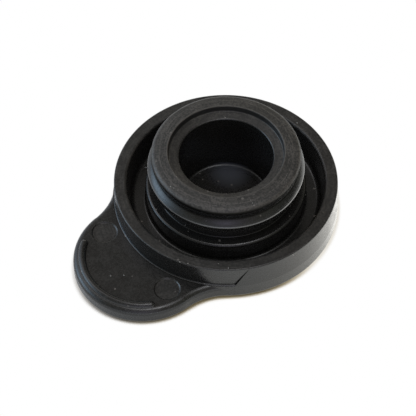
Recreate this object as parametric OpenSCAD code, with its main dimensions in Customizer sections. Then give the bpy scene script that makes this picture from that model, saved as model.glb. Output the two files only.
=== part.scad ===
// Push-in reservoir cap, moulded in one piece from black elastomer.
// It lies on its outer face with the plug up. Z runs along the plug and the pull tab points to -Y.

/* [Plug] */

// Diameter of the sealing bead, which squeezes into the filler neck
bead_d = 41.9; // [28:0.1:64]
// How far the root bead stands out past the sealing bead
root_step = 0.65; // [0.2:0.05:1.2]
// Depth of the groove between the two beads, from the sealing bead's crest
groove_depth = 2.35; // [1.2:0.05:3.5]
// Height of the groove between the two beads
groove_h = 5.2; // [3:0.1:8]
// Height of the sealing bead's cylindrical band
band_h = 1.75; // [1.2:0.05:3]
// Height of the lead-in flare, from the sealing bead up to the hollow under the nose
flare_h = 1.85; // [1:0.05:4]
// How far the middle of the flare stands out of the straight line between its ends
flare_belly = 0.15; // [0.05:0.05:0.4]
// How far the nose's edge lies inside the sealing bead
nose_step = 1.1; // [0.5:0.05:2]
// Depth of the hollow under the nose, from the nose's edge
hollow_depth = 0.6; // [0.2:0.05:1]
// Height of the nose above the hollow
nose_h = 3.7; // [2.6:0.1:6]
// Height of the nose's upright lip above the side that runs in to the hollow
nose_lip_h = 1.5; // [1.4:0.1:2.4]
// Rounding of the nose's edge
nose_edge_r = 1.3; // [0.3:0.1:1.3]
// Width of the nose's ring-shaped face
face_w = 4.45; // [3:0.05:7]
// Rise of the nose's face from its outer edge to its lip
face_rise = 0.6; // [0.3:0.05:1.8]

/* [Recess and core] */

// Depth of the recess in the nose, at its wall
recess_depth = 1.75; // [0.8:0.05:4]
// Width of the recess floor
recess_w = 2.7; // [1.5:0.1:5]
// Fall of the recess floor towards the core
recess_fall = 0.35; // [0.1:0.05:0.8]
// How much the core's radius lessens down to its floor
core_draft = 0.4; // [0.1:0.05:1]
// Thickness of the cover under the core
core_floor_t = 2.6; // [1.6:0.1:4]
// Distance of the raised disc on the core's floor from the core's wall
disc_inset = 1.7; // [1.2:0.1:4]
// Height of the raised disc on the core's floor
disc_h = 0.25; // [0.15:0.05:0.8]

/* [Cover and skirt] */

// Height of the skirt's rim above the outer face
skirt_h = 11.1; // [8:0.1:18]
// Thickness of the cover under the channel
cover_t = 3.8; // [2.4:0.1:5]
// Rounding of the outer face's edge, all round the cover and the tab
base_edge_r = 0.7; // [0.2:0.1:0.9]
// Width of the channel floor between plug and skirt
channel_w = 4; // [2.8:0.1:8]
// How much the skirt's inner radius lessens from the rim to the channel floor
channel_draft = 1.2; // [0.4:0.1:2]
// Thickness of the skirt at its rim
wall_t = 3.4; // [2:0.1:5]
// How much the skirt's outer radius lessens from the tab's level to the rim
skirt_draft = 0.5; // [0.1:0.05:1]
// How far the root bead's shoulder lies below the rim
root_drop = 1; // [0.2:0.1:2]

/* [Pull tab] */

// Thickness of the tab
tab_t = 4.4; // [2.8:0.1:6.4]
// How far the tab reaches past the cover
tab_length = 17.8; // [12:0.2:30]
// Radius of the tab's round end
tab_r = 18.5; // [12:0.5:24]
// Radius of the hollow curves that lead the tab into the skirt
web_r = 17; // [8:0.5:30]
// Rounding of the tab's upper edge
tab_edge_r = 1.7; // [0.5:0.1:1.9]

/* [Grip rib] */

// Distance of the rib from the tab's edge
rib_inset = 1.3; // [0.8:0.1:5]
// Width of the rib
rib_w = 2.2; // [1.2:0.1:4]
// Height of the rib above the tab
rib_h = 0.9; // [0.4:0.1:1.2]
// Angle that the rib spans
rib_span = 112; // [40:2:150]

/* [Ejector marks] */

// Diameter of the marks that the ejector pins leave in the tab
mark_d = 7; // [3:0.2:8.4]
// Depth of the marks
mark_depth = 0.3; // [0.1:0.05:0.6]
// Distance of each mark from the tab's centre line
mark_x = 12.5; // [5:0.5:13]
// Distance of the marks past the centre of the tab's round end
mark_y = 2.6; // [-2:0.2:5]

/* [Relief above the tab] */

// Depth of the relief in the skirt, at the tab's upper face
relief_depth = 0.5; // [0.2:0.05:1]
// How far the relief's foot reaches past the foot of the web, on each side
relief_margin = 1.15; // [0.5:0.05:3]
// Slope of the relief's two ends away from vertical, in degrees
relief_slope = 15.5; // [2:0.5:25]

/* [Hidden] */

$fn = 144;

rubber = [0.075, 0.073, 0.07];

// Radii from the sealing bead outwards to the cover's edge
bead_r = bead_d / 2;
root_r = bead_r + root_step;
root_draft = 0.2;
root_foot_r = root_r - root_draft;
floor_outer_r = root_foot_r + channel_w;
rim_inner_r = floor_outer_r + channel_draft;
rim_r = rim_inner_r + wall_t;
cover_r = rim_r + skirt_draft;

// Radii from the sealing bead inwards to the raised disc
neck_r = bead_r - groove_depth;
nose_r = bead_r - nose_step;
hollow_r = nose_r - hollow_depth;
recess_r = nose_r - face_w;
recess_draft = 0.2;
recess_foot_r = recess_r - recess_draft;
core_r = recess_foot_r - recess_w;
core_foot_r = core_r - core_draft;
disc_r = core_foot_r - disc_inset;

// Levels from the channel up to the lip, and down again to the raised disc
root_z = skirt_h - root_drop;
bead_z = root_z + groove_h;
crest_z = bead_z + band_h;
hollow_z = crest_z + flare_h;
edge_z = hollow_z + nose_h;
lip_z = edge_z + face_rise;
recess_z = lip_z - recess_depth;
core_z = recess_z - recess_fall;
disc_z = core_floor_t + disc_h;

// The nose's face is steeper outside than inside: its crown has this share of the rise at half its width
crown_share = 0.66;

// Roundings of the turned body, in the order of its outline
rim_outer_round = 0.4;
rim_inner_round = 0.9;
skirt_foot_round = 1.2;
root_foot_round = 0.8;
root_edge_round = 0.8;
neck_foot_round = 0.25;
neck_round = 0.8;
bead_under_round = 0.3;
crest_round = 0.9;
flare_round = 4;
hollow_round = 0.2;
lip_foot_round = 1;
crown_round = 6;
lip_round = 0.2;
recess_foot_round = 0.3;
core_mouth_round = 0.4;
core_corner_round = 0.7;
disc_round = 0.1;
relief_foot_round = 0.35;

// An arc passes slanted sides by this much
hair = 0.002;
// Two sides whose directions have a product under this are square to each other
square_enough = 0.000001;
// The web's hollow bites this far into the round end and the skirt, so that their walls cross cleanly
tuck = 0.04;
// A cutter passes the surface that it cuts by this much
over = 1;

// The tab's round end, and the circle that hollows the web on its +X side
tab_reach = cover_r + tab_length - tab_r;
tab_centre = [0, -tab_reach];
web_far = cover_r + web_r;
web_near = tab_r + web_r;
web_y = (tab_reach * tab_reach + web_far * web_far - web_near * web_near) / (2 * tab_reach);
web_centre = [sqrt(web_far * web_far - web_y * web_y), -web_y];

function unit(v) = v / norm(v);
function turning(a, b) = a[0] * b[1] - a[1] * b[0];

// The middle of the flare, off the straight line from the sealing bead to the hollow
flare_middle = [(bead_r + hollow_r) / 2, (crest_z + hollow_z) / 2] + unit([flare_h, bead_r - hollow_r]) * flare_belly;

// Corner i of a closed outline of [x, y, radius]: the corner itself, the directions back and on along its two
// sides, the distance along them to where its arc starts and ends, the arc's centre and radius, its turn,
// and its give. Where the sides aren't square to each other the arc is set a hair too far into the corner,
// so it crosses them instead of only touching them
function corner(p, i) =
    let (
        n = len(p),
        before = [p[(i + n - 1) % n][0], p[(i + n - 1) % n][1]],
        here = [p[i][0], p[i][1]],
        after = [p[(i + 1) % n][0], p[(i + 1) % n][1]],
        back = unit(before - here),
        on = unit(after - here),
        skew = abs(back * on),
        half = acos(max(-1, min(1, back * on))) / 2,
        r = p[i][2],
        give = r > 0 && skew > square_enough ? hair : 0,
        inset = r - give
    )
    [
        here,
        back,
        on,
        inset / tan(half),
        here + unit(back + on) * inset / sin(half),
        r,
        turning(here - before, after - here),
        give
    ];

// The slice of a circle that rounds corner c, where it has give a little wider than the arc that is left of it
module slice(c) {
    centre = c[4];
    r = c[5];
    reach = c[3] + 3 * sqrt(2 * r * c[7]);
    translate(centre)
    intersection() {
        circle(r = r);
        polygon([
            [0, 0],
            2 * (c[0] + c[1] * reach - centre),
            2 * (c[0] - centre),
            2 * (c[0] + c[2] * reach - centre)
        ]);
    }
}

// A closed outline, given anticlockwise as [x, y, radius], with every corner rounded by a true arc
module rounded(p) {
    corners = [for (i = [0 : len(p) - 1]) corner(p, i)];
    difference() {
        union() {
            polygon([
                for (c = corners)
                    each (c[5] > 0 ? [c[0] + c[1] * c[3], c[0] + c[2] * c[3]] : [c[0]])
            ]);
            for (c = corners)
                if (c[5] > 0 && c[6] > 0)
                    slice(c);
        }
        for (c = corners)
            if (c[5] > 0 && c[6] < 0)
                slice(c);
    }
}

// Cover, skirt and plug as one turned body. The outline runs from the outer face up the skirt,
// down into the channel, up the plug, and down into the core
module body() {
    rotate_extrude()
    rounded([
        [0, 0, 0],
        [cover_r, 0, base_edge_r],
        [cover_r, tab_t, 0],
        [rim_r, skirt_h, rim_outer_round],
        [rim_inner_r, skirt_h, rim_inner_round],
        [floor_outer_r, cover_t, skirt_foot_round],
        [root_foot_r, cover_t, root_foot_round],
        [root_r, root_z, root_edge_round],
        [neck_r, root_z, neck_foot_round],
        [neck_r, bead_z, neck_round],
        [bead_r, bead_z, bead_under_round],
        [bead_r, crest_z, crest_round],
        [flare_middle[0], flare_middle[1], flare_round],
        [hollow_r, hollow_z, hollow_round],
        [nose_r, edge_z - nose_lip_h, lip_foot_round],
        [nose_r, edge_z, nose_edge_r],
        [(nose_r + recess_r) / 2, edge_z + crown_share * face_rise, crown_round],
        [recess_r, lip_z, lip_round],
        [recess_foot_r, recess_z, recess_foot_round],
        [core_r, core_z, core_mouth_round],
        [core_foot_r, core_floor_t, core_corner_round],
        [disc_r, core_floor_t, disc_round],
        [disc_r - disc_h, disc_z, disc_round],
        [0, disc_z, 0]
    ]);
}

// What the mould's shut-off takes from the skirt above the tab: a band with sloped ends,
// bounded inside by the relief's own wall and the fillet at its foot
module relief() {
    half_w = web_centre[0] * cover_r / web_far + relief_margin;
    top = skirt_h + over;
    spread = (top - tab_t) * tan(relief_slope);
    difference() {
        rotate([90, 0, 0])
        linear_extrude(height = cover_r + over)
        polygon([
            [-half_w, tab_t],
            [half_w, tab_t],
            [half_w + spread, top],
            [-half_w - spread, top]
        ]);
        rotate_extrude()
        rounded([
            [0, cover_t, 0],
            [cover_r + over, cover_t, 0],
            [cover_r + over, tab_t, 0],
            [cover_r - relief_depth, tab_t, relief_foot_round],
            [cover_r - relief_depth, top + over, 0],
            [0, top + over, 0]
        ]);
    }
}

// The tab's round end, turned about its own centre
module tab_end() {
    translate(tab_centre)
    rotate_extrude()
    rounded([
        [0, 0, 0],
        [tab_r, 0, base_edge_r],
        [tab_r, tab_t, tab_edge_r],
        [0, tab_t, 0]
    ]);
}

// The plate between the round end and the plug, before its sides are hollowed
module tab_web() {
    near = tab_centre + unit(web_centre - tab_centre) * (tab_r + over);
    far = unit(web_centre) * (cover_r + over);
    linear_extrude(height = tab_t)
    polygon([
        tab_centre,
        near,
        far,
        [0, 0],
        [-far[0], far[1]],
        [-near[0], near[1]]
    ]);
}

// What hollows one side of the web. It flares at both faces, so it rounds the web's edges as it cuts them
module web_hollow() {
    r = web_r + tuck;
    translate(web_centre)
    rotate_extrude()
    difference() {
        translate([0, -over])
        square([r + tab_edge_r, tab_t + 2 * over]);
        translate([r, base_edge_r])
        square([tab_edge_r + over, tab_t - tab_edge_r - base_edge_r]);
        translate([r + tab_edge_r, tab_t - tab_edge_r])
        circle(r = tab_edge_r);
        translate([r + base_edge_r, base_edge_r])
        circle(r = base_edge_r);
        translate([r + base_edge_r, -2 * over])
        square([tab_edge_r + over, base_edge_r + 2 * over]);
    }
}

// The raised rib that keeps a finger from slipping off the tab
module rib() {
    r = rib_w / 2;
    middle_r = tab_r - rib_inset - r;
    translate([0, -tab_reach, tab_t + rib_h - r]) {
        rotate([0, 0, -90 - rib_span / 2])
        rotate_extrude(angle = rib_span)
        translate([middle_r, 0])
        circle(r = r);
        for (side = [-1, 1])
            rotate([0, 0, -90 + side * rib_span / 2])
            translate([middle_r, 0, 0])
            sphere(r = r - tuck / 2);
    }
}

// The shallow round marks of the ejector pins
module marks() {
    for (side = [-1, 1])
        translate([side * mark_x, -tab_reach - mark_y, tab_t - mark_depth])
        cylinder(h = mark_depth + over, r1 = mark_d / 2 - mark_depth, r2 = mark_d / 2 + over);
}

// Pull tab: round end, web, rib and marks, ending inside the skirt's wall
module tab() {
    difference() {
        union() {
            tab_end();
            tab_web();
        }
        web_hollow();
        mirror([1, 0, 0])
        web_hollow();
        marks();
        translate([0, 0, -over])
        cylinder(h = tab_t + 2 * over, r = rim_inner_r);
    }
    rib();
}

module cap() {
    color(rubber)
    union() {
        difference() {
            body();
            relief();
        }
        tab();
    }
}

cap();
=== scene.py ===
"""Looks of a push-in coolant reservoir cap: one black rubber moulding that lies on its outer face, plug up.

Lengths are in millimetres until a shell becomes a mesh, which is in metres. The pull tab points to -Y.
Sizes inside shader nodes are in metres too.
"""
import logging
import math
from dataclasses import dataclass
from enum import Enum
from functools import cache
from typing import Any

import bpy
import numpy as np
from mathutils import Matrix, Vector
from mathutils.geometry import delaunay_2d_cdt


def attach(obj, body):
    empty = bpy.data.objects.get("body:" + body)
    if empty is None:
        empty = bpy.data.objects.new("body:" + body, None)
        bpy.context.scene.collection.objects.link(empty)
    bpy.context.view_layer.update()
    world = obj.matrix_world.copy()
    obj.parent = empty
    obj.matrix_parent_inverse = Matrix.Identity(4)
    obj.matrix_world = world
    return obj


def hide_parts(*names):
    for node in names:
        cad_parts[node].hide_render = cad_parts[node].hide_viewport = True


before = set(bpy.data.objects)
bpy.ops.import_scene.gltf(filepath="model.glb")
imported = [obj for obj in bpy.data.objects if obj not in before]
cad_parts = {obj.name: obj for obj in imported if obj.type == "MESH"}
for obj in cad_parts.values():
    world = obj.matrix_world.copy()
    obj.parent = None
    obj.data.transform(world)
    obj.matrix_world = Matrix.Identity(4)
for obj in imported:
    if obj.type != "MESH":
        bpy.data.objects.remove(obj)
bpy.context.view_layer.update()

Colour = tuple[float, float, float]
Spot = tuple[float, float, float]
Band = tuple[float, float]
Grain = tuple[float, float, float, float]

MM = 0.001
MERGE = 1e-7
BODY = "root"
NODE = "cap"
LOG = logging.getLogger("reservoir_cap")

# Place and radius of each grain of dust, and of the nib of flash on the sealing bead
DUST: tuple[Grain, ...] = (
    (11.96, -27.30, 11.06, 0.13),
    (13.76, -26.14, 11.10, 0.13),
    (19.04, -20.39, 11.10, 0.10),
    (21.89, -19.40, 11.10, 0.12),
    (-1.15, 27.75, 11.10, 0.16),
    (29.79, -3.91, 10.48, 0.19),
    (3.94, -18.18, 10.75, 0.09),
    (-9.73, 8.70, 21.17, 0.12),
    (16.15, -6.46, 23.02, 0.07),
    (17.12, -6.67, 22.86, 0.09),
    (17.86, -6.84, 22.67, 0.08),
    (-1.18, -18.58, 22.82, 0.12),
    (-0.17, -18.28, 22.88, 0.08),
    (1.05, -17.98, 22.93, 0.07),
    (-0.51, -40.53, 4.40, 0.16),
    (1.64, -37.89, 4.40, 0.12),
    (-2.01, -20.58, 17.42, 0.08),
    (10.69, -17.00, 18.16, 0.07),
)
NIB: tuple[Grain, ...] = ((-13.78, -16.10, 17.0, 0.5),)
NIB_STRETCH = (1.0, 0.28, 0.28)


# Shells: surfaces as plain arrays


class Facing(Enum):
    """Which way flat faces look: up, as their ring runs anticlockwise seen from above, or turned round."""

    UP = "up"
    DOWN = "down"


@dataclass
class Shell:
    """A surface before it is a mesh: its points in millimetres, its faces, and a mark for edges and feet."""

    points: np.ndarray
    faces: list[np.ndarray]
    edge: np.ndarray

    def joined(self, other: "Shell") -> "Shell":
        """Both shells as one: the other's faces count on from this one's points."""
        moved = [f + len(self.points) for f in other.faces]
        return Shell(
            np.vstack([self.points, other.points]),
            self.faces + moved,
            np.concatenate([self.edge, other.edge]),
        )


def unit(v: np.ndarray) -> np.ndarray:
    """Each vector over its own length."""
    return v / np.linalg.norm(v, axis=-1, keepdims=True)


def grid_faces(rows: int, columns: int) -> np.ndarray:
    """Quads of a grid that closes on itself: each takes a point, its right neighbour, and the two above them.

    Args:
        rows: how many rows of points there are.
        columns: how many points a row has; the last is joined to the first.

    Returns:
        Four indices a face, which points outwards where columns run anticlockwise and rows run up.
    """
    j, k = np.meshgrid(np.arange(rows - 1), np.arange(columns), indexing="ij")
    right = (k + 1) % columns
    quads = np.stack(
        [j * columns + k, j * columns + right, (j + 1) * columns + right, (j + 1) * columns + k], -1
    )
    return quads.reshape(-1, 4)


def fan_faces(centre: int, ring: np.ndarray, facing: Facing) -> np.ndarray:
    """Triangles from one point to each side of a closed ring of points.

    Args:
        centre: index of the middle point.
        ring: indices of the ring, anticlockwise seen from above.
        facing: UP keeps the ring's own sense, DOWN turns it round.

    Returns:
        An array of three indices a face.
    """
    after = np.roll(ring, -1)
    middle = np.full(len(ring), centre)
    return np.stack([middle, ring, after] if facing is Facing.UP else [middle, after, ring], -1)


class Piece:
    """A piece of the visual model. Each kind has its own name and shell, and is built and dressed here."""

    name: str
    crease = 34.0

    def shell(self) -> Shell:
        """The piece's surface."""
        raise NotImplementedError

    def build(self, material: bpy.types.Material) -> bpy.types.Object:
        """Puts the shell into a mesh, in metres, dresses it, and lets it ride on the cap.

        The edge mark becomes an attribute. Faces that meet at more than the crease, in degrees, keep a sharp
        edge between them.

        Args:
            material: the finish it is dressed in.

        Returns:
            The object, at the origin, unturned and unscaled.
        """
        shell = self.shell()
        mesh = bpy.data.meshes.new(self.name)
        mesh.vertices.add(len(shell.points))
        mesh.vertices.foreach_set("co", (shell.points * MM).astype(np.float32).ravel())
        corners = np.concatenate([f.ravel() for f in shell.faces]).astype(np.int32)
        sizes = np.concatenate([np.full(len(f), f.shape[1]) for f in shell.faces])
        mesh.loops.add(len(corners))
        mesh.loops.foreach_set("vertex_index", corners)
        mesh.polygons.add(len(sizes))
        mesh.polygons.foreach_set("loop_start", (np.cumsum(sizes) - sizes).astype(np.int32))
        mesh.update(calc_edges=True)
        mesh.validate()
        mesh.polygons.foreach_set("use_smooth", np.ones(len(mesh.polygons), bool))
        mesh.set_sharp_from_angle(angle=math.radians(self.crease))
        mark = mesh.attributes.new("edge", "FLOAT", "POINT")
        mark.data.foreach_set("value", shell.edge.astype(np.float32))
        mesh.materials.append(material)
        piece = bpy.data.objects.new(self.name, mesh)
        bpy.context.scene.collection.objects.link(piece)
        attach(piece, BODY)
        return piece


# Outlines: runs of corners with true arcs


@dataclass(frozen=True)
class Corner:
    """One corner of an outline: where its two sides meet, and the radius of the arc that rounds it."""

    x: float
    z: float
    r: float = 0.0


@dataclass
class Outline:
    """An open run of corners, each rounded by an arc that touches both of its sides."""

    corners: list[Corner]
    arc_turn: float = 9.0
    side_step: float = 1.3
    hold: float = 0.07

    def trace(self) -> tuple[np.ndarray, np.ndarray]:
        """Walks along the outline.

        An arc's centre lies on its corner's bisector, at the radius over the sine of half the corner's angle.
        The arc starts and ends at the radius over the tangent of that half angle from the corner, and is cut
        into equal turns. A side is cut into equal steps, with a short step at each end to hold it flat.

        Returns:
            The points, and a mark for each: 1 in the middle of an arc that bends away, -1 in the middle of
            one that bends in, falling to 0 at the arc's ends and on the sides.
        """
        p = np.array([(c.x, c.z) for c in self.corners])
        runs, marks = [p[:1]], [np.zeros(1)]
        for i in range(1, len(p) - 1):
            r = self.corners[i].r
            back, on = unit(p[i - 1] - p[i]), unit(p[i + 1] - p[i])
            half = math.acos(max(-1.0, min(1.0, float(back @ on)))) / 2
            centre = p[i] + unit(back + on) * r / math.sin(half)
            first, last = p[i] + back * r / math.tan(half), p[i] + on * r / math.tan(half)
            side, zeros = self._side(runs[-1][-1], first)
            a, b = first - centre, last - centre
            sweep = math.atan2(a[0] * b[1] - a[1] * b[0], float(a @ b))
            steps = max(2, math.ceil(abs(math.degrees(sweep)) / self.arc_turn))
            t = np.linspace(0, 1, steps + 1)
            turn = math.atan2(a[1], a[0]) + sweep * t
            arc = centre + r * np.stack([np.cos(turn), np.sin(turn)], -1)
            runs += [side, arc]
            marks += [zeros, math.copysign(1, sweep) * np.sin(np.pi * t)]
        side, zeros = self._side(runs[-1][-1], p[-1])
        runs += [side, p[-1:]]
        marks += [zeros, np.zeros(1)]
        return np.vstack(runs), np.concatenate(marks)

    def _side(self, a: np.ndarray, b: np.ndarray) -> tuple[np.ndarray, np.ndarray]:
        """Points strictly between the two ends of a straight side.

        Args:
            a: where the side starts.
            b: where it ends.

        Returns:
            The points and a zero mark for each.
        """
        length = float(np.linalg.norm(b - a))
        hold = min(self.hold, length / 4)
        inner = np.linspace(hold, length - hold, max(2, math.ceil(length / self.side_step)))
        return a + (b - a) * (inner / length)[:, None], np.zeros(len(inner))


# The cap's own shapes


@dataclass
class TurnedBody(Piece):
    """Cover, skirt and plug: one outline turned about the axis, with the relief above the tab let into it."""

    name: str = "cover_and_plug"
    cover_r: float = 30.5
    rim_r: float = 30.0
    rim_inner_r: float = 26.6
    floor_outer_r: float = 25.4
    skirt_h: float = 11.1
    cover_t: float = 3.8
    tab_t: float = 4.4
    base_round: float = 0.7
    root_foot_r: float = 21.4
    root_r: float = 21.6
    root_z: float = 10.1
    neck_r: float = 18.6
    bead_r: float = 20.95
    bead_z: float = 15.3
    crest_z: float = 17.05
    flare: tuple[float, float] = (20.21, 18.077)
    hollow: tuple[float, float] = (19.25, 18.9)
    nose_r: float = 19.85
    lip_foot_z: float = 21.1
    edge_z: float = 22.6
    crown: tuple[float, float] = (17.625, 22.996)
    lip: tuple[float, float] = (15.4, 23.2)
    recess_foot: tuple[float, float] = (15.2, 21.45)
    core_mouth: tuple[float, float] = (12.5, 21.1)
    core_foot: tuple[float, float] = (12.1, 2.6)
    disc_r: float = 10.4
    disc_h: float = 0.25
    relief_depth: float = 0.5
    relief_half_w: float = 23.915
    relief_slope: float = 15.5
    relief_foot: float = 0.35
    ledge_round: float = 0.07
    rim_outer_round: float = 0.4
    rim_inner_round: float = 0.9
    skirt_foot_round: float = 1.2
    root_foot_round: float = 0.8
    root_edge_round: float = 0.8
    neck_foot_round: float = 0.25
    neck_round: float = 0.8
    bead_under_round: float = 0.3
    crest_round: float = 0.9
    flare_round: float = 4.0
    hollow_round: float = 0.2
    lip_foot_round: float = 1.0
    nose_edge_round: float = 1.3
    crown_round: float = 6.0
    lip_round: float = 0.2
    recess_foot_round: float = 0.3
    core_mouth_round: float = 0.4
    core_corner_round: float = 0.7
    disc_round: float = 0.1
    # Radius of the first ring round each pole, and how far inside the rim the wall's rows meet the upper ones
    pole_r: float = 0.6
    rim_seam: float = 1.2
    # How far below the rim the wall stops leaning, and the relief's ends stop slanting
    lean_stop: float = 0.45
    slant_stop: float = 0.1
    # Degrees from each of the relief's ends to the column that holds it
    end_hold: float = 0.12
    ledge_points: int = 4
    foot_points: int = 7
    columns_round: int = 250
    columns_relief: int = 84

    def lower_rows(self) -> tuple[np.ndarray, np.ndarray]:
        """Rows from the middle of the outer face, round its edge and up to just under the tab's level."""
        end = Corner(self.cover_r, self.tab_t - self.ledge_round)
        corners = [Corner(self.pole_r, 0.0), Corner(self.cover_r, 0.0, self.base_round), end]
        return Outline(corners, side_step=4.0).trace()

    def wall_rows(self) -> tuple[np.ndarray, np.ndarray, np.ndarray]:
        """Rows of the skirt's outer wall, once as it is all round and once as it is inside the relief.

        All round, the wall leans in from the cover's radius to the rim's and ends in the rim's rounding.
        Inside the relief, the same rows first cross the ledge, climb a quarter circle of the foot's radius,
        and then stand at the relief's radius, or at the wall's where that is less.

        Returns:
            The rows all round, the rows inside the relief, and the marks.
        """
        low, high = self.tab_t - self.ledge_round, self.tab_t + self.relief_foot
        outer, mark = Outline(
            [
                Corner(self.cover_r, high),
                Corner(self.rim_r, self.skirt_h, self.rim_outer_round),
                Corner(self.rim_inner_r + self.rim_seam, self.skirt_h),
            ],
            side_step=0.9,
        ).trace()
        slope = (self.cover_r - self.rim_r) / (self.skirt_h - self.tab_t)
        lean = outer[:, 1] < self.skirt_h - self.lean_stop
        outer[lean, 0] = self.cover_r - slope * (outer[lean, 1] - self.tab_t)
        inner = outer.copy()
        inner[:, 0] = np.minimum(inner[:, 0], self.cover_r - self.relief_depth)
        corner = np.linspace(0, math.pi / 2, self.ledge_points)
        edge = np.stack(
            [
                self.cover_r - self.ledge_round * (1 - np.cos(corner)),
                low + self.ledge_round * np.sin(corner),
            ],
            -1,
        )
        turn = np.linspace(0, math.pi / 2, self.foot_points)
        wall_r = self.cover_r - self.relief_depth
        foot = np.stack(
            [
                wall_r + self.relief_foot * (1 - np.sin(turn)),
                self.tab_t + self.relief_foot * (1 - np.cos(turn)),
            ],
            -1,
        )
        ledge_in = np.vstack([edge, foot])[:-1]
        z = np.linspace(low, high, len(ledge_in) + 1)[:-1]
        ledge_out = np.stack([self.cover_r - slope * np.maximum(0, z - self.tab_t), z], -1)
        marks = np.concatenate([np.sin(2 * corner), -np.sin(2 * turn)])[:-1]
        return (
            np.vstack([ledge_out, outer]),
            np.vstack([ledge_in, inner]),
            np.concatenate([marks, mark]),
        )

    def upper_rows(self) -> tuple[np.ndarray, np.ndarray]:
        """Rows from the rim's flat, down into the channel, up the plug, over its nose and down into the core.

        Returns:
            The rows' radii and heights, and their marks.
        """
        disc_z = self.core_foot[1] + self.disc_h
        run = Outline(
            [
                Corner(self.rim_inner_r + self.rim_seam, self.skirt_h),
                Corner(self.rim_inner_r, self.skirt_h, self.rim_inner_round),
                Corner(self.floor_outer_r, self.cover_t, self.skirt_foot_round),
                Corner(self.root_foot_r, self.cover_t, self.root_foot_round),
                Corner(self.root_r, self.root_z, self.root_edge_round),
                Corner(self.neck_r, self.root_z, self.neck_foot_round),
                Corner(self.neck_r, self.bead_z, self.neck_round),
                Corner(self.bead_r, self.bead_z, self.bead_under_round),
                Corner(self.bead_r, self.crest_z, self.crest_round),
                Corner(*self.flare, self.flare_round),
                Corner(*self.hollow, self.hollow_round),
                Corner(self.nose_r, self.lip_foot_z, self.lip_foot_round),
                Corner(self.nose_r, self.edge_z, self.nose_edge_round),
                Corner(*self.crown, self.crown_round),
                Corner(*self.lip, self.lip_round),
                Corner(*self.recess_foot, self.recess_foot_round),
                Corner(*self.core_mouth, self.core_mouth_round),
                Corner(*self.core_foot, self.core_corner_round),
                Corner(self.disc_r, self.core_foot[1], self.disc_round),
                Corner(self.disc_r - self.disc_h, disc_z, self.disc_round),
                Corner(self.pole_r, disc_z),
            ]
        )
        points, marks = run.trace()
        return points[1:], marks[1:]

    def shell(self) -> Shell:
        """Turns the rows about the axis.

        A point lies at its row's radius and height. Its angle is counted from the tab's direction. The
        columns share out the circle in two parts that meet at the relief's ends, where the angle's sine is
        the end's distance from the middle over the radius, so the grid's lines follow the slanted ends.

        Returns:
            The closed shell, with one point at each pole.
        """
        lower, lower_mark = self.lower_rows()
        wall, relief, wall_mark = self.wall_rows()
        upper, upper_mark = self.upper_rows()
        plain = np.vstack([lower, wall[1:], upper])
        sunk = np.vstack([lower, relief[1:], upper])
        mark = np.concatenate([lower_mark, wall_mark[1:], upper_mark])

        lean = math.tan(math.radians(self.relief_slope))
        top = self.skirt_h - self.slant_stop

        def end_angle(rows: np.ndarray) -> np.ndarray:
            """Angle of the relief's end on each row, held below the tab's level and above the rim.

            Args:
                rows: the rows' radii and heights.

            Returns:
                The angles, in radians from the tab's direction.
            """
            first, last = len(lower), len(lower) + len(wall) - 2
            z = np.clip(rows[:, 1], self.tab_t, top)
            x = self.relief_half_w + (z - self.tab_t) * lean
            angle = np.arcsin(x / np.maximum(rows[:, 0], self.rim_r))
            angle[:first] = angle[first]
            angle[last:] = angle[last]
            return angle

        outside, inside = end_angle(plain), end_angle(sunk)
        hold = math.radians(self.end_hold)
        gap = np.maximum(np.abs(inside - outside), hold / 2)
        inside = outside + np.where(inside > outside, gap, -gap)
        t_in = np.linspace(-1, 1, self.columns_relief)
        angles_in = t_in[None, :] * inside[:, None]
        t_out = np.linspace(0, 1, self.columns_round)
        angles_out = outside[:, None] + (2 * np.pi - 2 * outside[:, None]) * t_out[None, :]
        angles_in[:, 1] = -inside + hold
        angles_in[:, -2] = inside - hold
        angles_out[:, 1] = outside + hold
        angles_out[:, -2] = 2 * np.pi - outside - hold
        theta = np.hstack([angles_in, angles_out])
        is_relief = np.zeros(theta.shape[1], bool)
        is_relief[: self.columns_relief] = True
        r = np.where(is_relief[None, :], sunk[:, :1], plain[:, :1])
        z = np.where(is_relief[None, :], sunk[:, 1:], plain[:, 1:])
        points = np.stack([r * np.sin(theta), -r * np.cos(theta), z], -1)
        rows, columns = theta.shape
        bottom, disc = rows * columns, rows * columns + 1
        poles = np.array([[0, 0, 0.0], [0, 0, plain[-1, 1]]])
        ring = np.arange(columns)
        faces = [
            grid_faces(rows, columns),
            fan_faces(bottom, ring, Facing.DOWN),
            fan_faces(disc, ring + (rows - 1) * columns, Facing.UP),
        ]
        edge = np.concatenate([np.repeat(mark, columns), np.zeros(2)])
        return Shell(np.vstack([points.reshape(-1, 3), poles]), faces, edge)


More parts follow.
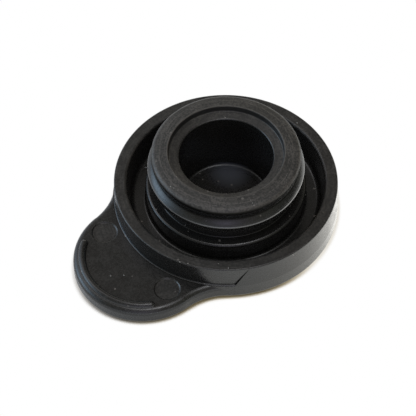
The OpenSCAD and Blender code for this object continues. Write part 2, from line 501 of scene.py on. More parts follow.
@dataclass
class PullTab(Piece):
    """The tab: a round end led into the skirt by two hollow curves, with rounded edges and ejector marks."""

    name: str = "pull_tab"
    cover_r: float = 30.5
    # A hundredth under the CAD's 18.5, whose facets cut the tab that much shorter
    end_r: float = 18.49
    reach: float = 29.8
    web_r: float = 17.0
    tuck: float = 0.04
    thickness: float = 4.4
    top_round: float = 1.7
    base_round: float = 0.7
    hidden_r: float = 28.0
    mark_r: float = 3.5
    mark_depth: float = 0.3
    mark_x: float = 12.5
    mark_y: float = 32.4
    mark_round: float = 0.14
    # How far the marks' outline starts outside their rim, and the radius where it ends round the middle
    mark_start: float = 0.25
    mark_pole: float = 0.2
    # How far in the edge's outline runs before it is cut, and how much of its flat is kept past the rounding
    edge_depth: float = 3.0
    edge_flat: float = 0.08
    points_hollow: int = 60
    points_end: int = 190
    points_closing: int = 24
    points_mark: int = 96

    def web_centre(self) -> np.ndarray:
        """Centre of the +X side's hollow curve: it lies at the sum of the radii from both circles' centres.

        Returns:
            Its place in the plan.
        """
        far, near = self.cover_r + self.web_r, self.end_r + self.web_r
        y = (self.reach**2 + far**2 - near**2) / (2 * self.reach)
        return np.array([math.sqrt(far**2 - y**2), -y])

    def edge_line(self) -> tuple[np.ndarray, np.ndarray, np.ndarray]:
        """The tab's plan outline, anticlockwise from its left side, closed inside the skirt.

        Three arcs follow each other: the left hollow curve, the round end and the right hollow curve. Each
        changes to the next on the line between their centres. A last arc about the axis closes the outline.

        Returns:
            The points, the unit directions into the tab, and the share of the edge's rounding at each point.
        """
        c = self.web_centre()
        end = np.array([0.0, -self.reach])
        to_skirt = math.atan2(-c[1], -c[0])
        to_end = math.atan2(end[1] - c[1], end[0] - c[0]) % (2 * math.pi)
        turn = np.linspace(to_end, to_skirt % (2 * math.pi), self.points_hollow)
        hollow = np.stack([np.cos(turn), np.sin(turn)], -1)
        r = self.web_r + self.tuck
        right, right_in = c + r * hollow, hollow
        left, left_in = right[::-1] * [-1, 1], right_in[::-1] * [-1, 1]
        reach_angle = math.atan2(c[0] - end[0], -(c[1] - end[1]))
        sweep = np.linspace(-reach_angle, reach_angle, self.points_end)[1:-1]
        out = np.stack([np.sin(sweep), -np.cos(sweep)], -1)
        lobe, lobe_in = end + self.end_r * out, -out
        last = math.atan2(right[-1][0], -right[-1][1])
        back = np.linspace(last, -last, self.points_closing)
        closing = self.hidden_r * np.stack([np.sin(back), -np.cos(back)], -1)
        points = np.vstack([left, lobe, right, closing])
        inward = np.vstack([left_in, lobe_in, right_in, np.zeros_like(closing)])
        share = np.concatenate([np.ones(len(left) + len(lobe) + len(right)), np.zeros(len(closing))])
        return points, inward, share

    def shell(self) -> Shell:
        """Carries the edge's outline round the plan, and closes it with a flat top and a flat base.

        The edge's outline gives a distance into the tab for each height: a quarter circle at the base, an
        upright wall, and a quarter circle at the top. Each point moves in from the plan outline by it.

        Returns:
            The closed shell, with a sunk ejector mark on each side of the top.
        """
        line, inward, share = self.edge_line()
        run, mark = Outline(
            [
                Corner(self.edge_depth, 0.0),
                Corner(0.0, 0.0, self.base_round),
                Corner(0.0, self.thickness, self.top_round),
                Corner(self.edge_depth, self.thickness),
            ],
            arc_turn=5.0,
            side_step=0.6,
        ).trace()
        run, mark = run[1:-1], -mark[1:-1]
        keep = run[:, 0] <= max(self.base_round, self.top_round) + self.edge_flat
        run, mark = run[keep], mark[keep]
        depth, z = run[:, :1], run[:, 1:]
        shift = depth[:, None, :] * (inward * share[:, None])[None]
        plan = line[None] + shift
        height = np.broadcast_to(z[:, None, :], plan.shape[:2] + (1,))
        points = np.concatenate([plan, height], -1)
        rows, columns = points.shape[:2]
        edge = np.repeat(mark, columns) * np.tile(share, rows)
        wall = Shell(points.reshape(-1, 3), [grid_faces(rows, columns)], edge)
        base = flat_fill(points[0][:, :2], [], 0.0, Facing.DOWN)
        rims = [self._mark_ring(side) for side in (-1, 1)]
        top = flat_fill(points[-1][:, :2], rims, self.thickness, Facing.UP)
        shell = wall.joined(base).joined(top)
        for side in (-1, 1):
            shell = shell.joined(self._mark(side))
        return shell

    def _mark_ring(self, side: int) -> np.ndarray:
        """The circle where an ejector mark's rounded rim meets the tab's face.

        Args:
            side: 1 for the mark on the +X side, -1 for the other.

        Returns:
            Its points in the plan.
        """
        turn = np.linspace(0, 2 * math.pi, self.points_mark, endpoint=False)
        r = self._mark_run()[0][0, 0]
        return np.array([side * self.mark_x, -self.mark_y]) + r * np.stack([np.cos(turn), np.sin(turn)], -1)

    def _mark_run(self) -> tuple[np.ndarray, np.ndarray]:
        """Outline of an ejector mark from rim to middle: rounded rim, short slope, rounded foot, floor.

        Returns:
            Its radii and heights, and their marks.
        """
        floor = self.thickness - self.mark_depth
        return Outline(
            [
                Corner(self.mark_r + self.mark_start, self.thickness),
                Corner(self.mark_r, self.thickness, self.mark_round),
                Corner(self.mark_r - self.mark_depth, floor, self.mark_round),
                Corner(self.mark_pole, floor),
            ],
            arc_turn=12.0,
        ).trace()

    def _mark(self, side: int) -> Shell:
        """One ejector mark, its outline turned about its own middle.

        Args:
            side: 1 for the mark on the +X side, -1 for the other.

        Returns:
            The sunk disc, open at its rim.
        """
        run, mark = self._mark_run()
        turn = np.linspace(0, 2 * math.pi, self.points_mark, endpoint=False)
        x = side * self.mark_x + run[:, :1] * np.cos(turn)
        y = -self.mark_y + run[:, :1] * np.sin(turn)
        z = np.broadcast_to(run[:, 1:], x.shape)
        points = np.stack([x, y, z], -1).reshape(-1, 3)
        centre = np.array([[side * self.mark_x, -self.mark_y, run[-1, 1]]])
        last = np.arange(self.points_mark) + (len(run) - 1) * self.points_mark
        faces = [grid_faces(len(run), self.points_mark), fan_faces(len(points), last, Facing.UP)]
        edge = np.concatenate([np.repeat(-mark, self.points_mark), [0.0]])
        return Shell(np.vstack([points, centre]), faces, edge)


def flat_fill(border: np.ndarray, holes: list[np.ndarray], z: float, facing: Facing) -> Shell:
    """Fills a flat region inside a closed line with triangles that use only the line's own points.

    Args:
        border: the closed line, anticlockwise.
        holes: closed lines inside it that stay open.
        z: the height of the region.
        facing: which way the faces look.

    Returns:
        The flat shell, with no marks.
    """
    loops = [border, *holes]
    plan = np.vstack(loops)
    starts = np.cumsum([0] + [len(loop) for loop in loops])
    rings = [start + np.arange(len(loop)) for start, loop in zip(starts, loops)]
    sides = np.vstack([np.stack([ring, np.roll(ring, -1)], -1) for ring in rings])
    found = delaunay_2d_cdt([Vector(p) for p in plan.tolist()], sides.tolist(), [], 0, MERGE)
    triangles = np.array(found[2])
    made = np.array([tuple(v) for v in found[0]])
    middle = made[triangles].mean(1)
    inside = in_loop(middle, border)
    for hole in holes:
        inside &= ~in_loop(middle, hole)
    triangles = triangles[inside]
    a, b, c = (made[triangles[:, i]] for i in range(3))
    area = (b[:, 0] - a[:, 0]) * (c[:, 1] - a[:, 1]) - (b[:, 1] - a[:, 1]) * (c[:, 0] - a[:, 0])
    wrong = (area > 0) != (facing is Facing.UP)
    triangles[wrong] = triangles[wrong][:, ::-1]
    points = np.column_stack([made, np.full(len(made), z)])
    return Shell(points, [triangles], np.zeros(len(points)))


def in_loop(spots: np.ndarray, loop: np.ndarray) -> np.ndarray:
    """Whether each spot lies inside a closed line: a ray to the right crosses it an odd number of times.

    Args:
        spots: places in the plan.
        loop: the line's points.

    Returns:
        A truth value for each spot.
    """
    a, b = loop[None, :, :], np.roll(loop, -1, 0)[None, :, :]
    x, y = spots[:, :1], spots[:, 1:]
    spans = (a[..., 1] > y) != (b[..., 1] > y)
    rise = np.where(b[..., 1] == a[..., 1], 1.0, b[..., 1] - a[..., 1])
    cross = a[..., 0] + (y - a[..., 1]) * (b[..., 0] - a[..., 0]) / rise
    return (spans & (x < cross)).sum(1) % 2 == 1


@dataclass
class GripRib(Piece):
    """The raised rib near the tab's edge: a round bar laid on an arc, with round ends, sunk in the tab."""

    name: str = "grip_rib"
    centre_y: float = -29.8
    arc_r: float = 16.1
    bar_r: float = 1.1
    middle_z: float = 4.2
    span: float = 112.0
    last_ring: float = 80.0
    rings_arc: int = 120
    rings_end: int = 8
    columns: int = 28

    def shell(self) -> Shell:
        """Carries a circle along the arc. Past each end of the arc the circle shrinks as a ball's does.

        Returns:
            The closed shell, with one point at each tip.
        """
        half = math.radians(self.span) / 2
        along = np.linspace(-half, half, self.rings_arc)
        ball = np.linspace(math.radians(self.last_ring), 0, self.rings_end)[:-1]
        swing = self.bar_r / self.arc_r
        angle = np.concatenate([-half - swing * np.sin(ball), along, half + swing * np.sin(ball[::-1])])
        size = np.concatenate([np.cos(ball), np.ones(len(along)), np.cos(ball[::-1])])
        turn = np.linspace(0, 2 * math.pi, self.columns, endpoint=False)
        r = self.arc_r + self.bar_r * size[:, None] * np.cos(turn)
        z = self.middle_z + self.bar_r * size[:, None] * np.sin(turn)
        points = np.stack([r * np.sin(angle[:, None]), self.centre_y - r * np.cos(angle[:, None]), z], -1)
        rows, columns = r.shape
        tip = np.array([-half - swing, half + swing])
        tip_y = self.centre_y - self.arc_r * np.cos(tip)
        tips = np.stack([self.arc_r * np.sin(tip), tip_y, np.full(2, self.middle_z)], -1)
        first = rows * columns
        ring = np.arange(columns)
        grid = grid_faces(rows, columns)[:, ::-1]
        ends = [
            fan_faces(first, ring, Facing.UP),
            fan_faces(first + 1, ring + (rows - 1) * columns, Facing.DOWN),
        ]
        mark = np.tile(np.clip(np.sin(turn), 0, 1), rows)
        edge = np.concatenate([mark, [0.0, 0.0]])
        return Shell(np.vstack([points.reshape(-1, 3), tips]), [grid, *ends], edge)


@dataclass
class Grains(Piece):
    """Small balls, each half sunk in the skin: dust where the photograph shows it, or a nib of flash."""

    name: str
    spots: tuple[Grain, ...]
    stretch: tuple[float, float, float] = (1.0, 1.0, 1.0)
    rings: int = 7
    columns: int = 10

    def shell(self) -> Shell:
        """Sets one ball at each spot.

        A ball's points lie at its radius times the sine and cosine of a rise and a turn. A stretch along the
        line from the axis, across it and upward draws it out.

        Returns:
            The closed balls in one shell.
        """
        spots = np.array(self.spots)
        rise = np.linspace(-math.pi / 2, math.pi / 2, self.rings + 2)[1:-1]
        turn = np.linspace(0, 2 * math.pi, self.columns, endpoint=False)
        x = np.cos(rise)[:, None] * np.cos(turn)
        y = np.cos(rise)[:, None] * np.sin(turn)
        z = np.repeat(np.sin(rise)[:, None], self.columns, 1)
        ball = np.vstack([np.stack([x, y, z], -1).reshape(-1, 3), [[0, 0, -1.0], [0, 0, 1.0]]]) * self.stretch
        away = np.arctan2(spots[:, 1], spots[:, 0])[:, None]
        c, s = np.cos(away), np.sin(away)
        x, y, z = ball.T
        turned = np.stack([c * x - s * y, s * x + c * y, c * 0 + z], -1)
        points = spots[:, None, :3] + spots[:, None, 3:] * turned
        count = len(ball)
        ring = np.arange(self.columns)
        grid = grid_faces(self.rings, self.columns)
        low = fan_faces(count - 2, ring, Facing.DOWN)
        high = fan_faces(count - 1, ring + (self.rings - 1) * self.columns, Facing.UP)
        start = (np.arange(len(spots)) * count)[:, None, None]
        faces = [(f[None] + start).reshape(-1, f.shape[1]) for f in (grid, low, high)]
        flat = points.reshape(-1, 3)
        return Shell(flat, faces, np.zeros(len(flat)))


# Shader wiring


class Wiring:
    """Lays nodes in one node tree and joins them."""

    def __init__(self, tree: bpy.types.NodeTree) -> None:
        """Takes the node tree to fill, and empties it."""
        self.tree = tree
        tree.nodes.clear()

    def add(self, kind: str, inputs: dict[int | str, Any] | None = None, **settings: Any) -> bpy.types.Node:
        """Lays one node.

        Args:
            kind: the node's type, without the leading "ShaderNode" where it has one.
            inputs: for each input, by name or number, the socket that feeds it or the constant it holds.
            settings: the node's own properties.

        Returns:
            The node.
        """
        node = self.tree.nodes.new(kind if kind.startswith("NodeGroup") else "ShaderNode" + kind)
        for name, value in settings.items():
            setattr(node, name, value)
        for key, value in (inputs or {}).items():
            if isinstance(value, bpy.types.NodeSocket):
                self.tree.links.new(value, node.inputs[key])
            else:
                node.inputs[key].default_value = value
        return node

    def math(self, operation: str, *values: Any, clamp: bool = False) -> bpy.types.NodeSocket:
        """Lays a Math node with a socket or a constant for each input in turn, and gives its result."""
        return self.add("Math", dict(enumerate(values)), operation=operation, use_clamp=clamp).outputs[0]

    def vector(self, operation: str, *values: Any) -> bpy.types.Node:
        """Lays a Vector Math node, which has a vector and a value output."""
        return self.add("VectorMath", dict(enumerate(values)), operation=operation)

    def blend(self, share: Any, first: Any, second: Any) -> bpy.types.NodeSocket:
        """Lays a Mix node for colours: share says how much of the second shows."""
        return self.add("Mix", {0: share, 6: first, 7: second}, data_type="RGBA").outputs[2]

    def times(self, *factors: Any) -> bpy.types.NodeSocket:
        """Multiplies values: the first two, and then the product by each that follows.

        Args:
            factors: sockets or constants.

        Returns:
            The product.
        """
        product = factors[0]
        for factor in factors[1:]:
            product = self.math("MULTIPLY", product, factor)
        return product

    def span(
        self, value: Any, low: float, high: float, out_low: float = 0.0, out_high: float = 1.0
    ) -> bpy.types.NodeSocket:
        """Maps a value softly from low and high to the two results, and keeps it between them."""
        inputs = {0: value, 1: low, 2: high, 3: out_low, 4: out_high}
        return self.add("MapRange", inputs, interpolation_type="SMOOTHSTEP").outputs[0]

    def band(self, value: Any, rise: Band, fall: Band) -> bpy.types.NodeSocket:
        """A mask that rises from 0 to 1 over the first band of values and falls over the second."""
        return self.times(self.span(value, *rise), self.span(value, *fall, 1.0, 0.0))


def start_group(name: str, takes: dict[str, str], gives: tuple[str, ...]) -> tuple[Wiring, Any]:
    """Starts a shader node group.

    Args:
        name: the group's name.
        takes: its inputs, each with its socket type.
        gives: its outputs, which are all plain values.

    Returns:
        Its wiring, and the sockets that carry its inputs.
    """
    tree = bpy.data.node_groups.new(name, "ShaderNodeTree")
    for label, kind in takes.items():
        tree.interface.new_socket(label, in_out="INPUT", socket_type="NodeSocket" + kind)
    for label in gives:
        tree.interface.new_socket(label, in_out="OUTPUT", socket_type="NodeSocketFloat")
    wire = Wiring(tree)
    return wire, wire.add("NodeGroupInput").outputs


@cache
def soft_lobe() -> bpy.types.NodeTree:
    """The group that gives a soft patch of light: 1 towards a direction, and less further round from it.

    Returns:
        The group. Its value is e to the power of sharpness times (cosine of the angle between both, less 1).
    """
    takes = {"Ray": "Vector", "Towards": "Vector", "Sharpness": "Float"}
    wire, given = start_group("soft_lobe", takes, ("Value",))
    cosine = wire.vector("DOT_PRODUCT", given["Ray"], given["Towards"]).outputs["Value"]
    fall = wire.times(wire.math("SUBTRACT", cosine, 1.0), given["Sharpness"])
    wire.add("NodeGroupOutput", {"Value": wire.math("EXPONENT", fall)})
    return wire.tree


@cache
def mould_skin() -> bpy.types.NodeTree:
    """The group that gives the skin of moulded rubber: grain, blotches, streaks round the axis and dust.

    Returns:
        The group. Grain is two noises of different size. Blotch is one wide noise. Streaks are a noise read
        from the distance from the axis and the height, with the angle round the axis drawn out long. Dust is
        1 close to the middle of those Voronoi cells whose own random value is high.
    """
    fine_share, wide_share, streak_draw = 0.4, 0.6, 0.0016
    dusty_cells, dust_reach = (0.93, 1.0), (0.0, 0.3)
    wire, given = start_group("mould_skin", {"Spot": "Vector"}, ("Grain", "Blotch", "Streaks", "Dust"))
    spot = given["Spot"]
    fine = wire.add("TexNoise", {"Vector": spot, "Scale": 3600.0, "Detail": 2.0}).outputs["Fac"]
    wide = wire.add("TexNoise", {"Vector": spot, "Scale": 1700.0, "Detail": 2.0}).outputs["Fac"]
    grain = wire.math("ADD", wire.times(fine, fine_share), wire.times(wide, wide_share))
    coarse = {"Vector": spot, "Scale": 190.0, "Detail": 4.0, "Roughness": 0.6}
    blotch = wire.add("TexNoise", coarse).outputs["Fac"]
    x, y, z = wire.add("SeparateXYZ", {0: spot}).outputs
    radius = wire.math("SQRT", wire.math("ADD", wire.math("POWER", x, 2.0), wire.math("POWER", y, 2.0)))
    turn = wire.times(wire.math("ARCTAN2", x, y), streak_draw)
    ringed = wire.add("CombineXYZ", {0: radius, 1: z, 2: turn}).outputs[0]
    streaks = wire.add("TexNoise", {"Vector": ringed, "Scale": 2600.0, "Detail": 3.0}).outputs["Fac"]
    cells = wire.add("TexVoronoi", {"Vector": spot, "Scale": 900.0}, feature="F1")
    size = wire.add("SeparateColor", {0: cells.outputs["Color"]}).outputs[0]
    dust = wire.math("LESS_THAN", cells.outputs["Distance"], wire.span(size, *dusty_cells, *dust_reach))
    wire.add("NodeGroupOutput", {"Grain": grain, "Blotch": blotch, "Streaks": streaks, "Dust": dust})
    return wire.tree


@dataclass(frozen=True)
class Zones:
    """Where the parts of the skin begin and end, in metres. Over a band, a mask turns from 0 to 1 or back."""

    nose_z: Band = (0.0206, 0.0217)
    nose_r: Band = (0.0125, 0.0132)
    rim_z: Band = (0.0104, 0.0109)
    rim_r: Band = (0.0258, 0.0270)
    tab_r: Band = (0.0304, 0.0306)
    mark_spot: Spot = (0.0125, -0.0324, 0.0)
    mark_r: Band = (0.0028, 0.0040)
    # Where a patch of bluish light is painted on the recess's floor, round one spot
    bluish_light_spot: Spot = (-0.0060, 0.0072, 0.00285)
    bluish_light_r: Band = (0.001, 0.0075)
    bluish_light_z: Band = (0.0032, 0.0036)
    # Where a highlight is painted along the recess's lip
    lip_in: Band = (0.01525, 0.0154)
    lip_out: Band = (0.0157, 0.0159)
    lip_z: Band = (0.0227, 0.0230)
    # Where shade is painted in the undercut below the nose
    hollow_foot: Band = (0.0185, 0.0189)
    hollow_top: Band = (0.0217, 0.0226)
    hollow_r: Band = (0.0180, 0.0184)
    crest_foot: Band = (0.0156, 0.0161)
    crest_top: Band = (0.0172, 0.0175)
    crest_r: Band = (0.0204, 0.0206)


@cache
def skin_zones() -> bpy.types.NodeTree:
    """The group that tells the parts of the skin from each other, by height and by distance from the axis.

    Returns:
        The group. Plug is 1 on the nose and crown, Rim on the skirt's top, Tab outside the skirt, Mark on the
        ejector marks, CoreBluishLight where a patch of bluish light is painted on the recess's floor,
        LipHighlight where a highlight is painted along the recess's lip, ShadedHollow where shade is painted
        in the undercut below the nose, and Crest on the sealing bead.
    """
    zones = Zones()
    gives = ("Plug", "Rim", "Tab", "Mark", "CoreBluishLight", "LipHighlight", "ShadedHollow", "Crest")
    wire, given = start_group("skin_zones", {"Spot": "Vector"}, gives)
    x, y, z = wire.add("SeparateXYZ", {0: given["Spot"]}).outputs
    flat = wire.add("CombineXYZ", {0: x, 1: y}).outputs[0]
    radius = wire.vector("LENGTH", flat).outputs["Value"]
    nose = wire.span(z, *zones.nose_z)
    beside_nose = wire.math("SUBTRACT", 1.0, nose)
    on_rim = wire.times(wire.span(radius, *zones.rim_r), beside_nose)
    folded = wire.add("CombineXYZ", {0: wire.math("ABSOLUTE", x), 1: y}).outputs[0]
    to_mark = wire.vector("DISTANCE", folded, zones.mark_spot).outputs["Value"]
    # Painted light: the patch of bluish light on the recess's floor lies round one spot
    to_bluish_light = wire.vector("DISTANCE", given["Spot"], zones.bluish_light_spot).outputs["Value"]
    floor = wire.span(z, *zones.bluish_light_z, 1.0, 0.0)
    # Painted highlight: the ring along the recess's lip
    lip = wire.band(radius, zones.lip_in, zones.lip_out)
    # Painted shade: the undercut below the nose
    hollow = wire.band(z, zones.hollow_foot, zones.hollow_top)
    crest = wire.band(z, zones.crest_foot, zones.crest_top)
    wire.add("NodeGroupOutput", {
        "Plug": wire.times(nose, wire.span(radius, *zones.nose_r)),
        "Rim": wire.times(wire.span(z, *zones.rim_z), on_rim),
        "Tab": wire.span(radius, *zones.tab_r),
        "Mark": wire.span(to_mark, *zones.mark_r, 1.0, 0.0),
        "CoreBluishLight": wire.times(wire.span(to_bluish_light, *zones.bluish_light_r, 1.0, 0.0), floor),
        "LipHighlight": wire.times(lip, wire.span(z, *zones.lip_z)),
        "ShadedHollow": wire.times(hollow, wire.span(radius, *zones.hollow_r)),
        "Crest": wire.times(crest, wire.span(radius, *zones.crest_r)),
    })
    return wire.tree


# Finishes


@dataclass(frozen=True)
class RubberFinish:
    """Black moulded rubber: near black, with a satin skin that is duller and greyer on the upward faces."""

    name: str = "black_rubber"
    colour: Colour = (0.0105, 0.0101, 0.0093)
    # Colour of bloom, also used for the highlight painted along the recess's lip
    bloom_and_lip_highlight: Colour = (0.063, 0.057, 0.050)
    dust: Colour = (0.16, 0.145, 0.13)
    # Colour of the patch of bluish light painted on the recess's floor
    bluish_light: Colour = (0.044, 0.049, 0.062)
    satin: float = 0.26
    dull: float = 0.5
    # How much bloom each zone carries, beside the plug's 1, and how much highlight is painted along the lip,
    # then the shares of the painted bluish light on the recess's floor and of dust
    rim_bloom: float = 0.5
    tab_bloom: float = 0.12
    mark_bloom: float = 0.30
    painted_lip_highlight: float = 0.5
    bluish_light_share: float = 0.8
    dust_share: float = 0.6
    # The sealing bead's crest: its coat, and the share of roughness that it loses
    crest_coat: float = 0.9
    crest_polish: float = 0.45
    # How deep the grain goes, in metres, how strongly it shows, and its share on satin and on dull skin
    grain_depth: float = 0.00004
    grain: float = 0.6
    satin_grain: float = 0.12
    dull_grain: float = 0.85

    def material(self) -> bpy.types.Material:
        """Builds the material.

        Returns:
            The material. The exposed parts are dull and carry bloom, the rest is satin and black. Bloom lies
            in specks, thicker on worn roundings, which the mesh marks with its edge attribute. A highlight is
            painted along the recess's lip, a patch of bluish light on the recess's floor, and shade in the
            undercut below the nose.
        """
        material = bpy.data.materials.new(self.name)
        material.use_nodes = True
        wire = Wiring(material.node_tree)
        spot = wire.add("TexCoord").outputs["Object"]
        skin = wire.add("Group", {"Spot": spot}, node_tree=mould_skin()).outputs
        zone = wire.add("Group", {"Spot": spot}, node_tree=skin_zones()).outputs
        facing = wire.add("SeparateXYZ", {0: wire.add("NewGeometry").outputs["Normal"]}).outputs[2]
        upward = wire.span(facing, 0.2, 0.8)
        tab = wire.math("MULTIPLY_ADD", zone["Mark"], self.mark_bloom, self.tab_bloom)
        tab = wire.times(zone["Tab"], tab)
        exposed = wire.math("MAXIMUM", wire.times(zone["Rim"], self.rim_bloom), tab)
        exposed = wire.times(wire.math("MAXIMUM", zone["Plug"], exposed), upward)
        dull = wire.math("MAXIMUM", wire.math("MAXIMUM", exposed, zone["Plug"]), zone["CoreBluishLight"])
        shader = wire.add("BsdfPrincipled", {
            "Base Color": self._colour(wire, skin, zone, exposed, upward),
            "Roughness": self._roughness(wire, skin, zone, dull),
            # Painted shade: metal over the near-black colour keeps the undercut below the nose from
            # reflecting light
            "Metallic": zone["ShadedHollow"],
            "Coat Weight": wire.times(zone["Crest"], self.crest_coat),
            "Normal": self._relief(wire, skin, dull),
            "IOR": 1.5,
            "Coat IOR": 1.5,
            "Coat Roughness": 0.14,
        })
        wire.add("OutputMaterial", {"Surface": shader.outputs[0]})
        return material

    def _colour(self, wire: Wiring, skin: Any, zone: Any, exposed: Any, upward: Any) -> bpy.types.NodeSocket:
        """Black under a painted patch of bluish light, then bloom and a painted lip highlight, then dust.

        Args:
            wire: the material's wiring.
            skin: the outputs of mould_skin.
            zone: the outputs of skin_zones.
            exposed: the mask of the exposed skin, which carries bloom.
            upward: the mask of the faces that look up.

        Returns:
            The base colour.
        """
        edge = wire.math("MAXIMUM", wire.add("Attribute", attribute_name="edge").outputs["Fac"], 0.0)
        streaks = wire.times(skin["Streaks"], 0.32)
        speckle = wire.span(wire.math("MULTIPLY_ADD", skin["Grain"], 0.68, streaks), 0.44, 0.58)
        patchy = wire.span(skin["Blotch"], 0.35, 0.65, 0.55, 1.0)
        bloom_and_lip_highlight = wire.times(speckle, patchy, exposed)
        wear_and_lip_highlight = wire.times(edge, upward, zone["Plug"], wire.span(skin["Grain"], 0.35, 0.6, 0.15, 0.8))
        # Painted highlight: a bright line along the recess's lip, added to the wear on the plug's roundings
        wear_and_lip_highlight = wire.math("ADD", wear_and_lip_highlight, wire.times(zone["LipHighlight"], self.painted_lip_highlight))
        bloom_and_lip_highlight = wire.math("ADD", bloom_and_lip_highlight, wear_and_lip_highlight, clamp=True)
        dusty = wire.times(skin["Dust"], wire.times(upward, self.dust_share))
        # Painted light: a patch of bluish light over the black on the recess's floor
        black = wire.blend(wire.times(zone["CoreBluishLight"], self.bluish_light_share), (*self.colour, 1), (*self.bluish_light, 1))
        return wire.blend(dusty, wire.blend(bloom_and_lip_highlight, black, (*self.bloom_and_lip_highlight, 1)), (*self.dust, 1))

    def _roughness(self, wire: Wiring, skin: Any, zone: Any, dull: Any) -> bpy.types.NodeSocket:
        """Satin to dull by the mask, a little up and down with grain and blotches, and smoother on the crest.

        Args:
            wire: the material's wiring.
            skin: the outputs of mould_skin.
            zone: the outputs of skin_zones.
            dull: the mask of the dull skin.

        Returns:
            The roughness.
        """
        rough = wire.add("Mix", {0: dull, 2: self.satin, 3: self.dull}, data_type="FLOAT").outputs[0]
        rough = wire.math("ADD", rough, wire.span(skin["Grain"], 0.35, 0.65, -0.06, 0.06))
        rough = wire.math("ADD", rough, wire.span(skin["Blotch"], 0.3, 0.7, -0.05, 0.05))
        return wire.times(rough, wire.math("MULTIPLY_ADD", zone["Crest"], -self.crest_polish, 1.0))

    def _relief(self, wire: Wiring, skin: Any, dull: Any) -> bpy.types.NodeSocket:
        """Grain and half as much of the streaks as a bump, deeper on dull skin.

        Args:
            wire: the material's wiring.
            skin: the outputs of mould_skin.
            dull: the mask of the dull skin.

        Returns:
            The normal.
        """
        height = wire.math("ADD", skin["Grain"], wire.times(skin["Streaks"], 0.5))
        height = wire.times(height, wire.math("MULTIPLY_ADD", dull, self.dull_grain, self.satin_grain))
        inputs = {"Height": height, "Strength": self.grain, "Distance": self.grain_depth}
        return wire.add("Bump", inputs).outputs["Normal"]


@dataclass(frozen=True)
class DustFinish:
    """Pale dust: plain and matte."""

    name: str = "pale_dust"
    colour: Colour = (0.42, 0.40, 0.37)
    roughness: float = 0.8

    def material(self) -> bpy.types.Material:
        """Builds the material.

        Returns:
            The material, with one colour all over: a grain is too small to show more.
        """
        material = bpy.data.materials.new(self.name)
        material.use_nodes = True
        wire = Wiring(material.node_tree)
        shader = wire.add("BsdfPrincipled", {"Base Color": (*self.colour, 1), "Roughness": self.roughness})
        wire.add("OutputMaterial", {"Surface": shader.outputs[0]})
        return material


# Studio


@dataclass(frozen=True)
class Lobe:
    """A soft patch of light, in degrees round from the camera and above the floor.

    Flatten squeezes it towards the horizon: the ray's rise is multiplied by it first.
    """

    side: float
    height: float
    colour: Colour
    sharpness: float = 12.0
    flatten: float = 1.0


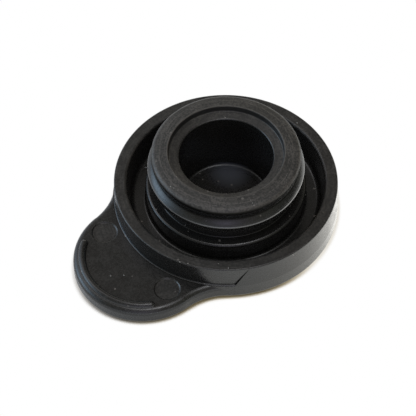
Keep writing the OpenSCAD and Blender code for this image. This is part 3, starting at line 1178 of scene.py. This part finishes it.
@dataclass
class Studio:
    """Camera, floor and room. Sides are the picture's own: left, right, near and far."""

    tab_turn: float = 47.45
    elevation: float = 52.55
    distance: float = 500.0
    aim: Spot = (-4.78, -1.23, 0.0)
    focal_share: float = 3.6729
    picture: float = 416.0
    sensor: float = 36.0
    room_lobes: tuple[Lobe, ...] = (
        Lobe(30, 10, (0.25, 0.22, 0.17)),
        Lobe(120, 10, (0.30, 0.30, 0.25)),
        Lobe(150, 10, (0.45, 0.42, 0.34)),
        Lobe(180, 10, (1.00, 0.95, 0.85)),
        Lobe(225, 10, (0.60, 0.65, 0.75)),
        Lobe(262, 14, (3.1, 4.2, 5.3), 18.0),
        Lobe(330, 10, (0.20, 0.22, 0.20)),
        Lobe(0, 0, (3.0, 3.2, 3.6), 5.0, 7.0),
        Lobe(0, 34, (0.95, 0.90, 1.20), 26.0),
        Lobe(60, 35, (0.24, 0.26, 0.20)),
        Lobe(300, 35, (0.20, 0.18, 0.12)),
        Lobe(45, 62, (0.22, 0.20, 0.17)),
        Lobe(225, 62, (0.22, 0.20, 0.16)),
        Lobe(236, 50, (2.0, 2.0, 2.1), 28.0),
        Lobe(0, 90, (0.66, 0.64, 0.61)),
        Lobe(40, 80, (6.0, 6.1, 6.4), 55.0),
    )
    floor_lobes: tuple[Lobe, ...] = (
        Lobe(86, 0, (1.60, 1.57, 1.47), 4.0),
        Lobe(22, 0, (0.40, 0.40, 0.35), 4.0),
    )
    floor_glow: Colour = (0.105, 0.105, 0.10)
    floor_colour: Colour = (0.9, 0.9, 0.9)
    # Half the floor's side, how far it lies under the cap, and how far the contact shadow reaches, in metres
    floor_half: float = 3.0
    floor_drop: float = 0.00002
    shadow_reach: float = 0.0030
    # The side where the contact shadow is deepest, the side where it is warmest, and its two tints
    shadow_side: float = -8.0
    warm_side: float = 60.0
    cool_tint: Colour = (1.0, 0.95, 0.88)
    warm_tint: Colour = (1.0, 0.80, 0.42)

    def to_row(self, v: np.ndarray) -> np.ndarray:
        """Turns a vector from the picture's plan, where the camera is at -Y, to the cap's own plan.

        Args:
            v: the vector.

        Returns:
            The turned vector.
        """
        t = math.radians(self.tab_turn)
        turn = np.array([[math.cos(t), -math.sin(t), 0], [math.sin(t), math.cos(t), 0], [0, 0, 1]])
        return turn @ v

    def place_camera(self) -> None:
        """Stands the camera so far off on its line of sight that its focal length gives the scale."""
        e = math.radians(self.elevation)
        right = np.array([1.0, 0, 0])
        up = np.array([0, math.sin(e), math.cos(e)])
        back = np.array([0, -math.cos(e), math.sin(e)])
        spot = np.array(self.aim) + self.distance * back
        data = bpy.data.cameras.new("camera")
        data.sensor_width = self.sensor
        data.lens = self.focal_share * self.distance / self.picture * self.sensor
        data.clip_start, data.clip_end = 0.01, 20.0
        camera = bpy.data.objects.new("camera", data)
        turn = Matrix([Vector(self.to_row(v)) for v in (right, up, back)]).transposed().to_4x4()
        camera.matrix_world = Matrix.Translation(Vector(self.to_row(spot) * MM)) @ turn
        bpy.context.scene.collection.objects.link(camera)
        bpy.context.scene.camera = camera

    def towards(self, side: float, height: float) -> Spot:
        """The direction of a spot in the room.

        Args:
            side: degrees round from the camera, positive to the picture's right.
            height: degrees above the floor.

        Returns:
            The unit direction in the cap's own frame.
        """
        a, e = math.radians(side), math.radians(height)
        way = np.array([math.sin(a) * math.cos(e), -math.cos(a) * math.cos(e), math.sin(e)])
        return tuple(self.to_row(way))

    def shine(self, wire: Wiring, ray: bpy.types.NodeSocket, lobes: tuple[Lobe, ...]) -> bpy.types.NodeSocket:
        """Adds the lobes up.

        Args:
            wire: the tree's wiring.
            ray: the direction that is looked up.
            lobes: the lobes.

        Returns:
            The colour the lobes give together.
        """
        total: Any = (0.0, 0.0, 0.0)
        for lobe in lobes:
            way = ray
            if lobe.flatten != 1.0:
                squeezed = wire.vector("MULTIPLY", ray, (1.0, 1.0, lobe.flatten)).outputs[0]
                way = wire.vector("NORMALIZE", squeezed).outputs[0]
            towards = self.towards(lobe.side, lobe.height)
            inputs = {"Ray": way, "Towards": towards, "Sharpness": lobe.sharpness}
            value = wire.add("Group", inputs, node_tree=soft_lobe()).outputs[0]
            lit = wire.add("VectorMath", {0: lobe.colour, "Scale": value}, operation="SCALE").outputs[0]
            total = wire.vector("ADD", total, lit).outputs[0]
        return total

    def lay_floor(self) -> None:
        """A wide pale floor, a hair under the cap.

        To the camera it is white, and darker only where the cap stands close over it. Reflections see it in
        the light that falls on it from each side.
        """
        half, z = self.floor_half, -self.floor_drop
        mesh = bpy.data.meshes.new("floor")
        corners = [(-half, -half, z), (half, -half, z), (half, half, z), (-half, half, z)]
        mesh.from_pydata(corners, [], [(0, 1, 2, 3)])
        material = bpy.data.materials.new("white_floor")
        material.use_nodes = True
        wire = Wiring(material.node_tree)
        path = wire.add("LightPath").outputs
        away = wire.vector("NORMALIZE", wire.add("TexCoord").outputs["Object"]).outputs[0]
        tint, shade = self._contact_shadow(wire, away)
        seen = wire.add("Emission", {"Color": tint, "Strength": shade}).outputs[0]
        glow = wire.vector("ADD", self.shine(wire, away, self.floor_lobes), self.floor_glow).outputs[0]
        mirrored = wire.add("Emission", {"Color": glow, "Strength": path["Is Glossy Ray"]}).outputs[0]
        diffuse = wire.add("BsdfDiffuse", {"Color": (*self.floor_colour, 1)}).outputs[0]
        lit_floor = wire.add("AddShader", {0: diffuse, 1: mirrored}).outputs[0]
        both = wire.add("MixShader", {0: path["Is Camera Ray"], 1: lit_floor, 2: seen}).outputs[0]
        wire.add("OutputMaterial", {"Surface": both})
        mesh.materials.append(material)
        floor = bpy.data.objects.new("floor", mesh)
        bpy.context.scene.collection.objects.link(floor)

    def _contact_shadow(self, wire: Wiring, away: bpy.types.NodeSocket) -> tuple[Any, Any]:
        """The floor close round the cap: darker where less is open, deeper in front, warm on the right.

        Args:
            wire: the floor's wiring.
            away: the direction from the cap's axis.

        Returns:
            The floor's tint and its brightness, 1 where no shadow falls.
        """
        open_share = wire.add("AmbientOcclusion", {"Distance": self.shadow_reach}, samples=16).outputs["AO"]
        near = wire.vector("DOT_PRODUCT", away, self.towards(self.shadow_side, 0.0)).outputs["Value"]
        depth = wire.span(near, 0.5, 0.9, 0.25, 0.9)
        lit = wire.math("DIVIDE", wire.math("SUBTRACT", open_share, 0.5), 0.2)
        lit = wire.math("POWER", wire.math("MAXIMUM", lit, 0.0), 1.6, clamp=True)
        shade = wire.math("SUBTRACT", 1.0, wire.times(depth, wire.math("SUBTRACT", 1.0, lit)))
        side = wire.vector("DOT_PRODUCT", away, self.towards(self.warm_side, 0.0)).outputs["Value"]
        tint = wire.blend(wire.span(side, -0.25, 0.3), (*self.cool_tint, 1), (*self.warm_tint, 1))
        return wire.blend(shade, tint, (1.0, 1.0, 1.0, 1)), shade

    def light(self) -> None:
        """Lights the room with soft lobes all round."""
        world = bpy.data.worlds.new("room")
        bpy.context.scene.world = world
        world.use_nodes = True
        wire = Wiring(world.node_tree)
        ray = wire.add("TexCoord").outputs["Generated"]
        sky = wire.add("Background", {"Color": self.shine(wire, ray, self.room_lobes)}).outputs[0]
        wire.add("OutputWorld", {"Surface": sky})


def main() -> None:
    """Builds the studio and the cap's pieces in order, and reports each piece."""
    logging.basicConfig(level=logging.INFO, format="%(name)s %(message)s")
    bpy.context.scene.view_settings.view_transform = "Standard"
    studio = Studio()
    studio.place_camera()
    studio.lay_floor()
    studio.light()
    rubber = RubberFinish().material()
    body = TurnedBody().build(rubber)
    others = (
        PullTab().build(rubber),
        GripRib().build(rubber),
        Grains("dust_grains", DUST).build(DustFinish().material()),
        Grains("flash_nib", NIB, NIB_STRETCH).build(rubber),
    )
    for piece in (body, *others):
        LOG.info("%s: %d points, %d faces", piece.name, len(piece.data.vertices), len(piece.data.polygons))
    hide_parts(NODE)


if __name__ == "__main__":
    main()
